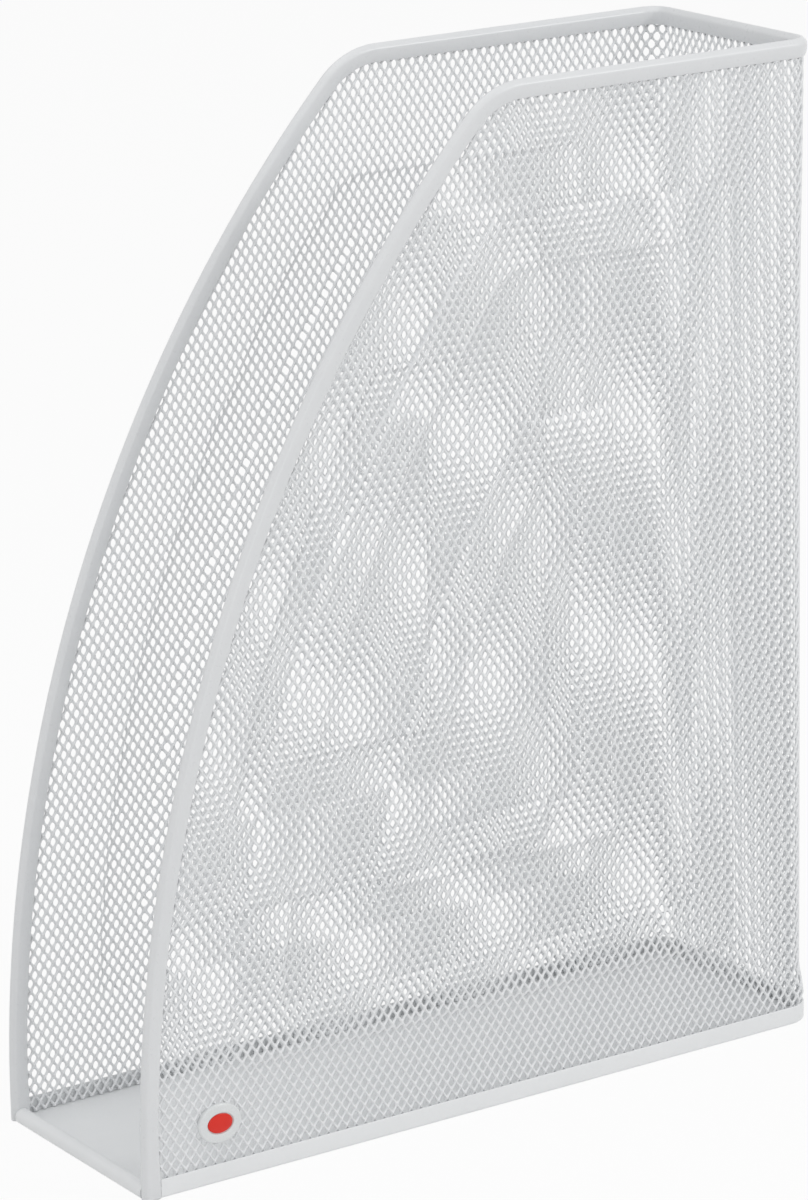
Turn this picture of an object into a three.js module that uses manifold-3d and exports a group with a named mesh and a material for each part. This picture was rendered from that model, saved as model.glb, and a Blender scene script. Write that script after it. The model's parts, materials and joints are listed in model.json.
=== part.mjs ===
// Mesh magazine holder: an upright file for papers, open at the front and the top.
// Millimetres, +Z up, the low open front faces -Y, and the origin is on the floor under the middle.
import * as THREE from 'three';
import { mergeVertices } from 'three/addons/utils/BufferGeometryUtils.js';
import Module from 'manifold-3d';

const wasm = await Module();
wasm.setup();

// Driving dimensions

const width = 81.6; // across the rim tube
const depth = 252.6; // front of the rim to the back of the rim
const height = 320; // top of the rim

const cornerRadius = 7.4; // back corners in plan, to the middle of the sheet
const sheetThickness = 1.0; // expanded and flattened steel sheet
const seatGap = 0.3; // clearance where one piece is seated in another

// Front cut: a large arc that starts upright at the floor and is rounded into the top edge
const frontArcRadius = 441.2; // outside of the rim
const frontArcHeight = 5.6; // centre of the arc above the floor
const shoulderRadius = 28; // outside of the rim, where the arc meets the top

// Rim tube: flat-sided, rounded, with a slot that takes the edge of the sheet
const rimWidth = 5.8; // in the plane of the wall
const rimThickness = 3.4; // square to the wall
const rimOuterRounding = 1.6;
const rimLipRounding = 0.8;
const rimSlotDepth = 3.2;

// Mesh: one cell here stands for about eight by eight of the real 3.4 x 4.9 mm ones
const cellPitchAlong = 28.4;
const cellPitchUp = 41.2;
const strandWidth = 5.0;
const meshBorder = 2.0; // unpierced edge, hidden in the rim
const smallestHole = 50; // cut-off cells under this area in square millimetres stay closed

// Pressed bands: two raised frames in each side, one inside the other
const bandWidth = 17.2;
const bandSpacing = 28.3; // flat mesh between the two bands
const bandHeight = 1.2;
const bandSlope = 1.6; // run of the pressed step
const bandFromBack = 30.2; // first band, from the outside of the back sheet
const bandFromFloor = 33.5;
const bandFromTop = 40; // first band, from the top of the rim
const secondBandTopEdge = 36.13; // length of its top edge, before the corners are rounded
const bandFromRim = 32.4; // first band, from the outside of the rim along the front
const bandArcRise = 9; // centre of the band arcs above the centre of the front arc
const bandCornerRadius = 4;

// Base pan
const panFloor = 1.2; // thickness of the floor
const skirtHeight = 6;
const skirtThickness = 0.8;
const panEdgeRounding = 1.2;
const lipDepth = 5.0;
const lipHeight = 4.2;
const lipSetBack = 0.4; // lip behind the front of the rim

// Badge on the right side
const badgeWidth = 15;
const badgeHeight = 12.5;
const badgeThickness = 1.1;
const badgeRing = 2.9; // width of the ring round the insert
const badgeCrown = 0.6; // rise of the insert above its seat
const badgeFromFront = 27.2; // front of the rim to the middle of the badge
const badgeZ = 18.8;
const pinSpacing = 10.1; // three real cells, so both pins go through holes
const pinDiameter = 1.6;
const clipThickness = 1.2;
const clipMargin = 1.2; // clip smaller than the bezel all round

// Derived places

const wallX = width / 2 - rimThickness / 2; // middle of the side sheets
const wallY = depth / 2 - rimThickness / 2; // middle of the back sheet
const bendY = wallY - cornerRadius; // side sheets run straight up to here
const halfBack = wallX - cornerRadius; // flat half of the back
const bendLength = (cornerRadius * Math.PI) / 2;
const halfSheet = sheetThickness / 2;
const frontArcY = frontArcRadius - depth / 2;
const bandArcHeight = frontArcHeight + bandArcRise;
const badgeY = -depth / 2 + badgeFromFront;
const rimInset = rimWidth / 2;
const sheetBottom = panFloor + seatGap;
const bendFolds = 3; // flat steps that a bent corner of the sheet is made of
const ovalSides = 20;
const bendEnd = halfBack + bendLength;
const holeReach = bandHeight + 2 * sheetThickness;

// The wall is drawn unrolled: x runs along the wall from the middle of the back, positive to the
// right, y is the height and z the distance outwards from the middle of the sheet.

function unrolled(y) {
  return halfBack + bendLength + (bendY - y);
}

function wrapPoint(point) {
  const side = Math.sign(point.x) || 1;
  const along = Math.abs(point.x);
  const out = point.z;
  if (along <= halfBack) {
    return new THREE.Vector3(point.x, wallY + out, point.y);
  }
  if (along < halfBack + bendLength) {
    const turn = (along - halfBack) / cornerRadius;
    const reach = cornerRadius + out;
    const x = side * (halfBack + reach * Math.sin(turn));
    return new THREE.Vector3(x, bendY + reach * Math.cos(turn), point.y);
  }
  const y = bendY - (along - halfBack - bendLength);
  return new THREE.Vector3(side * (wallX + out), y, point.y);
}

function wrapGeometry(geometry) {
  const position = geometry.getAttribute('position');
  const point = new THREE.Vector3();
  for (let i = 0; i < position.count; i++) {
    point.fromBufferAttribute(position, i);
    const wrapped = wrapPoint(point);
    position.setXYZ(i, wrapped.x, wrapped.y, wrapped.z);
  }
  // Wrapping mirrors the drawing, so each triangle is turned over
  const index = Array.from(geometry.getIndex().array);
  for (let i = 0; i < index.length; i += 3) [index[i], index[i + 1]] = [index[i + 1], index[i]];
  return geometry.setIndex(index);
}

// Solids and geometries

function toSolid(geometry) {
  const bare = geometry.clone();
  bare.deleteAttribute('normal');
  bare.deleteAttribute('uv');
  const merged = mergeVertices(bare, 1e-4);
  const vertProperties = Float32Array.from(merged.getAttribute('position').array);
  const triVerts = Uint32Array.from(merged.getIndex().array);
  return new wasm.Manifold(new wasm.Mesh({ numProp: 3, vertProperties, triVerts }));
}

function toGeometry(solid) {
  const mesh = solid.getMesh();
  const geometry = new THREE.BufferGeometry();
  geometry.setAttribute('position', new THREE.Float32BufferAttribute(mesh.vertProperties, 3));
  geometry.setIndex(Array.from(mesh.triVerts));
  return geometry;
}

function prism(points, bottom, top) {
  const options = { depth: top - bottom, bevelEnabled: false, curveSegments: 1 };
  const geometry = new THREE.ExtrudeGeometry(new THREE.Shape(points), options);
  return geometry.translate(0, 0, bottom);
}

function boxSolid(x0, x1, y0, y1, z0, z1) {
  const box = new THREE.BoxGeometry(x1 - x0, y1 - y0, z1 - z0);
  return toSolid(box.translate((x0 + x1) / 2, (y0 + y1) / 2, (z0 + z1) / 2));
}

// A closed body from rings of points; closed lengthways too when it goes round in a loop
function skin(rings, loop) {
  const count = rings[0].length;
  const positions = rings.flat().flatMap((p) => [p.x, p.y, p.z]);
  const index = [];
  const last = loop ? rings.length : rings.length - 1;
  for (let i = 0; i < last; i++) {
    const here = i * count;
    const there = ((i + 1) % rings.length) * count;
    for (let j = 0; j < count; j++) {
      const k = (j + 1) % count;
      index.push(here + j, here + k, there + k, here + j, there + k, there + j);
    }
  }
  const geometry = new THREE.BufferGeometry();
  geometry.setAttribute('position', new THREE.Float32BufferAttribute(positions, 3));
  geometry.setIndex(index);
  return geometry;
}

function arcPoints(centreX, centreY, radius, from, to, steps) {
  const points = [];
  for (let i = 0; i <= steps; i++) {
    const angle = from + ((to - from) * i) / steps;
    const x = centreX + radius * Math.cos(angle);
    points.push(new THREE.Vector2(x, centreY + radius * Math.sin(angle)));
  }
  return points;
}

// Edge of the wall, unrolled: stations with the place, and the direction square to the edge

function edgeStations(inset, arcSteps, shoulderSteps, bendSteps) {
  const radius = frontArcRadius - inset;
  const top = height - inset;
  const shoulder = shoulderRadius - inset;
  const shoulderZ = top - shoulder;
  const rise = shoulderZ - frontArcHeight;
  const shoulderY = frontArcY - Math.sqrt((radius - shoulder) ** 2 - rise ** 2);
  const meeting = Math.atan2(rise, frontArcY - shoulderY);
  const start = Math.asin(-frontArcHeight / radius);
  const half = [];
  for (let i = 0; i <= arcSteps; i++) {
    const angle = start + ((meeting - start) * i) / arcSteps;
    const y = frontArcY - radius * Math.cos(angle);
    const z = i === 0 ? 0 : frontArcHeight + radius * Math.sin(angle);
    const square = i === 0 ? 0 : angle;
    half.push({ x: unrolled(y), y: z, nx: Math.cos(square), ny: Math.sin(square) });
  }
  for (let i = 1; i <= shoulderSteps; i++) {
    const angle = meeting + ((Math.PI / 2 - meeting) * i) / shoulderSteps;
    const y = shoulderY - shoulder * Math.cos(angle);
    const z = shoulderZ + shoulder * Math.sin(angle);
    half.push({ x: unrolled(y), y: z, nx: Math.cos(angle), ny: Math.sin(angle) });
  }
  for (let i = bendSteps; i >= 0; i--) {
    half.push({ x: halfBack + (bendLength * i) / bendSteps, y: top, nx: 0, ny: 1 });
  }
  const mirrored = half.map((s) => ({ x: -s.x, y: s.y, nx: -s.nx, ny: s.ny })).reverse();
  return half.concat(mirrored);
}

// Rim tube

function rimSection() {
  const m = rimWidth / 2;
  const n = rimThickness / 2;
  const slot = halfSheet + seatGap;
  const outer = rimOuterRounding;
  const lip = rimLipRounding;
  const quarter = Math.PI / 2;
  return [
    ...arcPoints(m - outer, n - outer, outer, 0, quarter, 3),
    ...arcPoints(-m + lip, n - lip, lip, quarter, 2 * quarter, 2),
    new THREE.Vector2(-m, slot),
    new THREE.Vector2(-m + rimSlotDepth, slot),
    new THREE.Vector2(-m + rimSlotDepth, -slot),
    new THREE.Vector2(-m, -slot),
    ...arcPoints(-m + lip, -n + lip, lip, 2 * quarter, 3 * quarter, 2),
    ...arcPoints(m - outer, -n + outer, outer, 3 * quarter, 4 * quarter, 3),
  ];
}

function makeRim() {
  const section = rimSection().reverse();
  const stations = edgeStations(rimInset, 14, 5, 2 * bendFolds);
  const rings = stations.map((s) =>
    section.map((p) => new THREE.Vector3(s.x + p.x * s.nx, s.y + p.x * s.ny, p.y)));
  const geometry = skin(rings, false);
  const caps = THREE.ShapeUtils.triangulateShape(section, []);
  const index = Array.from(geometry.getIndex().array);
  const end = (rings.length - 1) * section.length;
  for (const [a, b, c] of caps) {
    index.push(a, b, c, end + c, end + b, end + a);
  }
  geometry.setIndex(index);
  return wrapGeometry(geometry);
}

// Mesh wall

function clipConvex(polygon, boundary) {
  let result = polygon;
  for (let i = 0; i < boundary.length && result.length; i++) {
    const a = boundary[i];
    const edge = boundary[(i + 1) % boundary.length].clone().sub(a);
    const side = (p) => edge.x * (p.y - a.y) - edge.y * (p.x - a.x);
    const kept = [];
    result.forEach((p, k) => {
      const q = result[(k + 1) % result.length];
      const sp = side(p);
      const sq = side(q);
      if (sp >= 0) kept.push(p);
      if (sp * sq < 0) kept.push(p.clone().lerp(q, sp / (sp - sq)));
    });
    result = kept;
  }
  return result;
}

function withoutShortEdges(polygon, shortest) {
  return polygon.filter((p, i) => p.distanceTo(polygon[(i + 1) % polygon.length]) > shortest);
}

function sheetOutline(inset, bottom) {
  const stations = edgeStations(inset, 12, 4, 1);
  const points = stations.map((s) => new THREE.Vector2(s.x, Math.max(s.y, bottom)));
  return points;
}

function meshHoles() {
  const zone = sheetOutline(rimInset + meshBorder, sheetBottom + meshBorder);
  const reach = unrolled(-depth / 2);
  const slant = Math.hypot(cellPitchAlong, cellPitchUp);
  const halfAlong = cellPitchAlong / 2 - (strandWidth * slant) / cellPitchUp / 2;
  const halfUp = cellPitchUp / 2 - (strandWidth * slant) / cellPitchAlong / 2;
  const crossing = unrolled(badgeY);
  const holes = [];
  const columns = Math.ceil((2 * reach) / (cellPitchAlong / 2)) + 2;
  const rows = Math.ceil(height / (cellPitchUp / 2)) + 2;
  for (let i = -columns; i <= columns; i++) {
    for (let j = -rows; j <= rows; j++) {
      if ((i + j) % 2 === 0) continue;
      const x = crossing + (i * cellPitchAlong) / 2;
      const y = badgeZ + (j * cellPitchUp) / 2;
      const cell = [
        new THREE.Vector2(x + halfAlong, y),
        new THREE.Vector2(x, y + halfUp),
        new THREE.Vector2(x - halfAlong, y),
        new THREE.Vector2(x, y - halfUp),
      ];
      const hole = withoutShortEdges(clipConvex(cell, zone), 0.8);
      if (hole.length > 2 && THREE.ShapeUtils.area(hole) > smallestHole) holes.push(hole);
    }
  }
  return holes;
}

function roundCorners(points, corners, radius, steps) {
  const result = [];
  points.forEach((p, i) => {
    if (!corners.includes(i)) {
      result.push(p);
      return;
    }
    const before = points[(i + points.length - 1) % points.length].clone().sub(p).normalize();
    const after = points[(i + 1) % points.length].clone().sub(p).normalize();
    const half = Math.acos(before.dot(after)) / 2;
    const toTangent = radius / Math.tan(half);
    const start = p.clone().addScaledVector(before, toTangent);
    const finish = p.clone().addScaledVector(after, toTangent);
    const curve = new THREE.QuadraticBezierCurve(start, p, finish);
    result.push(...curve.getPoints(steps));
  });
  return result;
}

// The first band hangs from the rim, and the second ends where its top edge has its length
function bandTop(band, radius, back) {
  if (band === 0) return height - bandFromTop;
  const reach = frontArcY - back + secondBandTopEdge;
  return bandArcHeight + Math.sqrt(radius ** 2 - reach ** 2);
}

// Outline of a pressed band, drawn in by an inset from its outer edge, unrolled on the right side
function bandLoop(band, inset) {
  const step = band * (bandWidth + bandSpacing);
  const outerBack = wallY + halfSheet - bandFromBack - step;
  const outerRadius = frontArcRadius - bandFromRim - step;
  const back = outerBack - inset;
  const floor = bandFromFloor + step + inset;
  const top = bandTop(band, outerRadius, outerBack) - inset;
  const radius = outerRadius - inset;
  const low = Math.asin((floor - bandArcHeight) / radius);
  const high = Math.asin((top - bandArcHeight) / radius);
  const arcSteps = band === 0 ? 7 : 5;
  const points = [];
  for (let i = 0; i <= arcSteps; i++) {
    const angle = low + ((high - low) * i) / arcSteps;
    const y = frontArcY - radius * Math.cos(angle);
    points.push(new THREE.Vector2(unrolled(y), bandArcHeight + radius * Math.sin(angle)));
  }
  points.push(new THREE.Vector2(unrolled(back), top), new THREE.Vector2(unrolled(back), floor));
  const corners = [0, arcSteps, arcSteps + 1, arcSteps + 2];
  const radiusHere = Math.max(bandCornerRadius - inset * 0.1, 1);
  return roundCorners(points, corners, radiusHere, 2);
}

function bandRing(band, side, base, low, high) {
  const profile = [
    [0, base], [0, low], [bandSlope, high],
    [bandWidth - bandSlope, high], [bandWidth, low], [bandWidth, base],
  ];
  const rings = profile.map(([inset, z]) => {
    const loop = bandLoop(band, inset);
    const points = loop.map((p) => new THREE.Vector3(side * p.x, p.y, z));
    return side > 0 ? points : points.reverse();
  });
  return toSolid(skin(rings, true));
}

// Cut every triangle along lines across the wall, so that it can bend there
function scoreAcross(geometry, places) {
  geometry.deleteAttribute('normal');
  geometry.deleteAttribute('uv');
  const merged = mergeVertices(geometry, 1e-4);
  const positions = Array.from(merged.getAttribute('position').array);
  let triangles = [];
  const source = merged.getIndex().array;
  for (let i = 0; i < source.length; i += 3) triangles.push([source[i], source[i + 1], source[i + 2]]);
  for (const place of places) {
    const made = new Map();
    const offset = (v) => {
      const d = positions[3 * v] - place;
      return Math.abs(d) < 1e-5 ? 0 : d;
    };
    const between = (a, b) => {
      const key = a < b ? `${a}_${b}` : `${b}_${a}`;
      if (!made.has(key)) {
        const [p, q] = a < b ? [a, b] : [b, a];
        const t = offset(p) / (offset(p) - offset(q));
        made.set(key, positions.length / 3);
        const mix = (axis) => positions[3 * p + axis] * (1 - t) + positions[3 * q + axis] * t;
        positions.push(place, mix(1), mix(2));
      }
      return made.get(key);
    };
    const next = [];
    for (const triangle of triangles) {
      const left = [];
      const right = [];
      triangle.forEach((a, k) => {
        const b = triangle[(k + 1) % 3];
        const da = offset(a);
        const db = offset(b);
        if (da <= 0) left.push(a);
        if (da >= 0) right.push(a);
        if (da * db < 0) {
          const m = between(a, b);
          left.push(m);
          right.push(m);
        }
      });
      const whole = triangle.every((v) => offset(v) === 0);
      for (const part of whole ? [triangle] : [left, right]) {
        for (let k = 1; k + 1 < part.length; k++) next.push([part[0], part[k], part[k + 1]]);
      }
    }
    triangles = next;
  }
  const result = new THREE.BufferGeometry();
  result.setAttribute('position', new THREE.Float32BufferAttribute(positions, 3));
  result.setIndex(triangles.flat());
  return result;
}

// A side of the sheet: cut to the edge, pressed, pierced and stood up in its place
function makeSidePanel(side, holes) {
  const outline = prism(sheetOutline(rimInset, sheetBottom), -halfSheet, halfSheet);
  const ends = [side * bendEnd, side * unrolled(-depth)];
  const stretch = boxSolid(Math.min(...ends), Math.max(...ends), 0, height, -depth, depth);
  let panel = toSolid(outline).intersect(stretch);
  for (const band of [0, 1]) {
    panel = panel.add(bandRing(band, side, -halfSheet / 2, halfSheet, halfSheet + bandHeight));
    panel = panel.subtract(bandRing(band, side, -sheetThickness, -halfSheet, bandHeight - halfSheet));
  }
  for (const hole of holes.filter((h) => h.some((p) => side * p.x > bendEnd))) {
    panel = panel.subtract(toSolid(prism(hole, -holeReach, holeReach)));
  }
  return wrapGeometry(toGeometry(panel));
}

// The back of the sheet with both bends, each folded in flat steps
function makeBackPanel(holes) {
  const folds = [];
  for (let i = 0; i <= bendFolds; i++) folds.push(halfBack + (bendLength * i) / bendFolds);
  const lines = folds.map((s) => -s).reverse().concat(folds);
  const edge = (out) => lines.map((s) => {
    const p = wrapPoint(new THREE.Vector3(s, 0, out));
    return new THREE.Vector2(p.x, p.y);
  });
  const plan = edge(-halfSheet).concat(edge(halfSheet).reverse());
  let panel = toSolid(prism(plan, sheetBottom, height - rimInset));
  for (const hole of holes.filter((h) => h.some((p) => Math.abs(p.x) < bendEnd))) {
    const cutter = scoreAcross(prism(hole, -holeReach, holeReach), lines);
    panel = panel.subtract(toSolid(wrapGeometry(cutter)));
  }
  return toGeometry(panel);
}

// Base pan

function panOutline(offset, front) {
  const x = wallX + offset;
  const radius = cornerRadius + offset;
  const quarter = Math.PI / 2;
  return [
    new THREE.Vector2(-x, front),
    new THREE.Vector2(x, front),
    ...arcPoints(x - radius, wallY + offset - radius, radius, 0, quarter, 6),
    ...arcPoints(-x + radius, wallY + offset - radius, radius, quarter, 2 * quarter, 6),
  ];
}

function makeBasePan() {
  const skirtInside = halfSheet + seatGap;
  const skirtOutside = skirtInside + skirtThickness;
  const front = -depth / 2 + lipSetBack;
  const rimBack = -depth / 2 + rimWidth + seatGap;
  const rimInside = wallX - rimThickness / 2 - seatGap;
  const rounding = panEdgeRounding;
  const lower = panOutline(skirtOutside - rounding, front + rounding).map((p) => p.clone());
  const outside = new THREE.ExtrudeGeometry(new THREE.Shape(lower), {
    depth: skirtHeight,
    bevelThickness: rounding,
    bevelSize: rounding,
    bevelSegments: 3,
    curveSegments: 1,
  });
  outside.translate(0, 0, rounding);
  let pan = toSolid(outside);
  pan = pan.subtract(boxSolid(-width, width, -depth, depth, skirtHeight, 3 * skirtHeight));
  pan = pan.subtract(toSolid(prism(panOutline(skirtInside, -depth), panFloor, 2 * skirtHeight)));
  for (const side of [1, -1]) {
    const inner = side * rimInside;
    const outer = side * width;
    const [x0, x1] = [Math.min(inner, outer), Math.max(inner, outer)];
    pan = pan.subtract(boxSolid(x0, x1, -depth, rimBack, -skirtHeight, 2 * skirtHeight));
  }
  const quarter = Math.PI / 2;
  const crest = lipHeight / 2;
  const lipProfile = [
    ...arcPoints(front + crest, crest, crest, quarter, 3 * quarter, 6),
    ...arcPoints(front + lipDepth - crest, crest, crest, -quarter, 0, 3),
    ...arcPoints(front + lipDepth - crest, crest, crest, 0, quarter, 3).slice(1),
  ];
  const turned = new THREE.Matrix4().makeBasis(
    new THREE.Vector3(0, 1, 0), new THREE.Vector3(0, 0, 1), new THREE.Vector3(1, 0, 0));
  const lip = prism(lipProfile, -rimInside, rimInside).applyMatrix4(turned);
  return toGeometry(pan.add(toSolid(lip)));
}

// Badge: the bezel is drawn facing +Z, then stood against the right side

function oval(across, up) {
  const points = [];
  for (let i = 0; i < ovalSides; i++) {
    const angle = (i / ovalSides) * 2 * Math.PI;
    points.push(new THREE.Vector2((across / 2) * Math.cos(angle), (up / 2) * Math.sin(angle)));
  }
  return points;
}

function pin(side, radius, bottom, top) {
  const cylinder = new THREE.CylinderGeometry(radius, radius, top - bottom, 10);
  cylinder.rotateX(Math.PI / 2).translate((side * pinSpacing) / 2, 0, (top + bottom) / 2);
  return toSolid(cylinder);
}

function makeBadgeBezel() {
  const edge = badgeThickness / 3;
  const face = new THREE.Shape(oval(badgeWidth - 2 * edge, badgeHeight - 2 * edge));
  const plate = new THREE.ExtrudeGeometry(face, {
    depth: badgeThickness,
    bevelThickness: edge,
    bevelSize: edge,
    bevelSegments: 2,
    curveSegments: 1,
  });
  const flat = boxSolid(-badgeWidth, badgeWidth, -badgeWidth, badgeWidth, -badgeThickness, 0);
  let bezel = toSolid(plate.translate(0, 0, -edge)).subtract(flat);
  const recess = oval(badgeWidth - 2 * badgeRing, badgeHeight - 2 * badgeRing);
  bezel = bezel.subtract(toSolid(prism(recess, badgeThickness / 2, 3 * badgeThickness)));
  const reach = -sheetThickness - 2 * seatGap - clipThickness;
  for (const side of [1, -1]) bezel = bezel.add(pin(side, pinDiameter / 2, reach, badgeThickness / 3));
  return toGeometry(bezel);
}

function makeBadgeInsert() {
  const across = badgeWidth - 2 * badgeRing - 2 * seatGap;
  const up = badgeHeight - 2 * badgeRing - 2 * seatGap;
  const dome = [[1, 0], [1, 0.5], [0.9, 0.75], [0.62, 0.94], [0.3, 1]];
  const rings = dome.map(([scale, rise]) => {
    const z = badgeThickness / 2 + rise * badgeCrown;
    return oval(across * scale, up * scale).map((p) => new THREE.Vector3(p.x, p.y, z));
  });
  const geometry = skin(rings, false);
  const index = Array.from(geometry.getIndex().array);
  const count = rings[0].length;
  const end = (rings.length - 1) * count;
  for (let i = 1; i + 1 < count; i++) index.push(0, i + 1, i, end, end + i, end + i + 1);
  return geometry.setIndex(index);
}

function makeBadgeClip() {
  const shape = oval(badgeWidth - 2 * clipMargin, badgeHeight - 2 * clipMargin);
  const back = -sheetThickness - seatGap - clipThickness;
  let clip = toSolid(prism(shape, back, back + clipThickness));
  for (const side of [1, -1]) {
    clip = clip.subtract(pin(side, pinDiameter / 2 + seatGap, 2 * back, badgeThickness));
  }
  return toGeometry(clip);
}

// Materials and assembly

const powderCoat = { roughness: 0.42, metalness: 0.0 };
const whiteMesh = new THREE.MeshStandardMaterial({ color: 0xe2e5e8, ...powderCoat });
const whiteRim = new THREE.MeshStandardMaterial({ color: 0xdfe2e6, ...powderCoat });
const whitePan = new THREE.MeshStandardMaterial({ color: 0xdcdfe3, ...powderCoat });
const bezelPlastic = new THREE.MeshStandardMaterial({ color: 0xe6e9ea, roughness: 0.3 });
const insertPlastic = new THREE.MeshStandardMaterial({ color: 0xc8352b, roughness: 0.25 });
const clipPlastic = new THREE.MeshStandardMaterial({ color: 0xd4d7da, roughness: 0.5 });

const holder = new THREE.Group();
holder.name = 'magazine_holder';

function addPiece(parent, name, geometry, material) {
  geometry.computeVertexNormals();
  const mesh = new THREE.Mesh(geometry, material);
  mesh.name = name;
  parent.add(mesh);
}

const holes = meshHoles();
addPiece(holder, 'mesh_right', makeSidePanel(1, holes), whiteMesh);
addPiece(holder, 'mesh_left', makeSidePanel(-1, holes), whiteMesh);
addPiece(holder, 'mesh_back', makeBackPanel(holes), whiteMesh);
addPiece(holder, 'rim_tube', makeRim(), whiteRim);
addPiece(holder, 'base_pan', makeBasePan(), whitePan);

const badge = new THREE.Group();
badge.position.set(wallX + halfSheet, badgeY, badgeZ);
badge.rotation.set(Math.PI / 2, Math.PI / 2, 0, 'XYZ');
holder.add(badge);
addPiece(badge, 'badge_bezel', makeBadgeBezel(), bezelPlastic);
addPiece(badge, 'badge_insert', makeBadgeInsert(), insertPlastic);
addPiece(badge, 'badge_clip', makeBadgeClip(), clipPlastic);

export default holder;
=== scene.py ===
# %% [markdown]
# # A mesh magazine holder
#
# The real object is one welded piece of steel. A sheet of expanded and flattened mesh is wrapped
# round the two sides and the back, a slotted tube is pushed over its edge, and a shallow pan
# closes the bottom. All of it is powder coated white. A small plastic badge is clipped through the
# mesh.
#
# The CAD model already has every piece at its size and place, but its mesh is far too coarse to
# look at. In this lesson the fine mesh is made from one single cell, and the tube, the pan and the
# badge are rebuilt with round edges, all in the same places.

import json
import math

import bmesh
import bpy
from mathutils import Matrix, Vector

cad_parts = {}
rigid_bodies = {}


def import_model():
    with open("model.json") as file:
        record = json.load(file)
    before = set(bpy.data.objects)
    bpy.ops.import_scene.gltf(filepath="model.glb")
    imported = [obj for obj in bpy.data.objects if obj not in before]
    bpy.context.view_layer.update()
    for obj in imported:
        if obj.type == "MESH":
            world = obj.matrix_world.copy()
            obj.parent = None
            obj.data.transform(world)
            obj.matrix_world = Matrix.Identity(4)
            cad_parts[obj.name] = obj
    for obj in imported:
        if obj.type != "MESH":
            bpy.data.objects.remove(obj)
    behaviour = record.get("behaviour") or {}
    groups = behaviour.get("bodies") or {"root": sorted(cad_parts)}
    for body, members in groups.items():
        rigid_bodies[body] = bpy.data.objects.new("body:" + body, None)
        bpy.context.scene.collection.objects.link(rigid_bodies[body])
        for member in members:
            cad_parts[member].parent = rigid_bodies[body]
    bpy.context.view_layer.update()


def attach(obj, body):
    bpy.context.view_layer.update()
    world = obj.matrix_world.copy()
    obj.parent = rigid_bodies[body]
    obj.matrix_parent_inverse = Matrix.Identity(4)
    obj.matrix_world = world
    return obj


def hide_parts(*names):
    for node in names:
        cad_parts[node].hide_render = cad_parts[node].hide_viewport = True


for leftover in list(bpy.data.objects):
    bpy.data.objects.remove(leftover)
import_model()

# %% [markdown]
# ## The sizes that everything shares
#
# Blender works in metres here, so a small constant turns millimetres into metres. The wall of the
# holder is a flat right side, a rounded corner, a flat back, another corner and a flat left side.
# Its front edge is one large arc that ends in a small shoulder. Two centres and two radii say all
# of it, so they are worked out once and every later piece reads them. The rim and the pan are bent
# a little more tightly than the sheet, which springs back where nothing holds it.

# %% Shared sizes
MM = 0.001
WIDTH, DEPTH, HEIGHT = 81.6 * MM, 252.6 * MM, 320 * MM
RIM_THICKNESS = 3.4 * MM
RIM_WIDTH = 5.8 * MM
SHEET_BEND, RIM_BEND, PAN_BEND = 8.3 * MM, 6.5 * MM, 7.4 * MM
SHEET = 1.0 * MM
GAP = 0.3 * MM
SEAM = 0.1 * MM

WALL_X = WIDTH / 2 - RIM_THICKNESS / 2
WALL_Y = DEPTH / 2 - RIM_THICKNESS / 2
BEND_X = WALL_X - SHEET_BEND
BEND_Y = WALL_Y - SHEET_BEND

ARC_RADIUS = 441.2 * MM
ARC_Y, ARC_Z = ARC_RADIUS - DEPTH / 2, 5.6 * MM
SHOULDER_RADIUS = 28 * MM
SHOULDER_Z = HEIGHT - SHOULDER_RADIUS
SHOULDER_Y = ARC_Y - math.sqrt((ARC_RADIUS - SHOULDER_RADIUS) ** 2 - (SHOULDER_Z - ARC_Z) ** 2)
MEETING = math.atan2(SHOULDER_Z - ARC_Z, ARC_Y - SHOULDER_Y)
print(f"the arc turns into the shoulder at {math.degrees(MEETING):.1f} degrees")

# %% [markdown]
# ## Small helpers for working by hand
#
# A person at the screen selects with the mouse. A script selects by place: `choose` goes through
# the vertices, edges or faces and keeps those for which a test holds. Everything is deselected
# first, because an operator acts on all that is selected. A face counts as upright, or as looking
# up, when its normal leans by no more than `LEAN`.

# %% Selecting and finishing
LEAN = 0.1


def deselect():
    if bpy.context.mode != "OBJECT":
        bpy.ops.object.mode_set(mode="OBJECT")
    bpy.ops.object.select_all(action="DESELECT")


def activate(piece):
    deselect()
    piece.select_set(True)
    bpy.context.view_layer.objects.active = piece


def edit(piece):
    activate(piece)
    bpy.ops.object.mode_set(mode="EDIT")


def choose(piece, kind, test):
    mode = {"verts": "VERT", "edges": "EDGE", "faces": "FACE"}[kind]
    bpy.ops.mesh.select_mode(type=mode)
    bpy.ops.mesh.select_all(action="DESELECT")
    mesh = bmesh.from_edit_mesh(piece.data)
    mesh.normal_update()
    chosen = [part for part in getattr(mesh, kind) if test(part)]
    for part in chosen:
        part.select_set(True)
    mesh.select_flush_mode()
    bmesh.update_edit_mesh(piece.data)
    return len(chosen)


def middle(part):
    return sum((v.co for v in part.verts), Vector()) / len(part.verts)


def near(a, b, reach=0.02 * MM):
    return abs(a - b) < reach


def level_with(edge, z):
    return all(near(v.co.z, z) for v in edge.verts)


def is_upright(face):
    return abs(face.normal.z) < LEAN


def looks_up(face):
    return face.normal.z > 1 - LEAN


def begin(name, add, **settings):
    """Add a primitive, name it, apply its place and open it in edit mode, all selected."""
    deselect()
    add(**settings)
    piece = bpy.context.object
    piece.name = piece.data.name = name
    apply_place(piece)
    bpy.ops.object.mode_set(mode="EDIT")
    bpy.ops.mesh.select_all(action="SELECT")
    return piece


def extrude(x, y, z):
    bpy.ops.mesh.extrude_region_move(TRANSFORM_OT_translate={"value": (x, y, z)})


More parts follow.
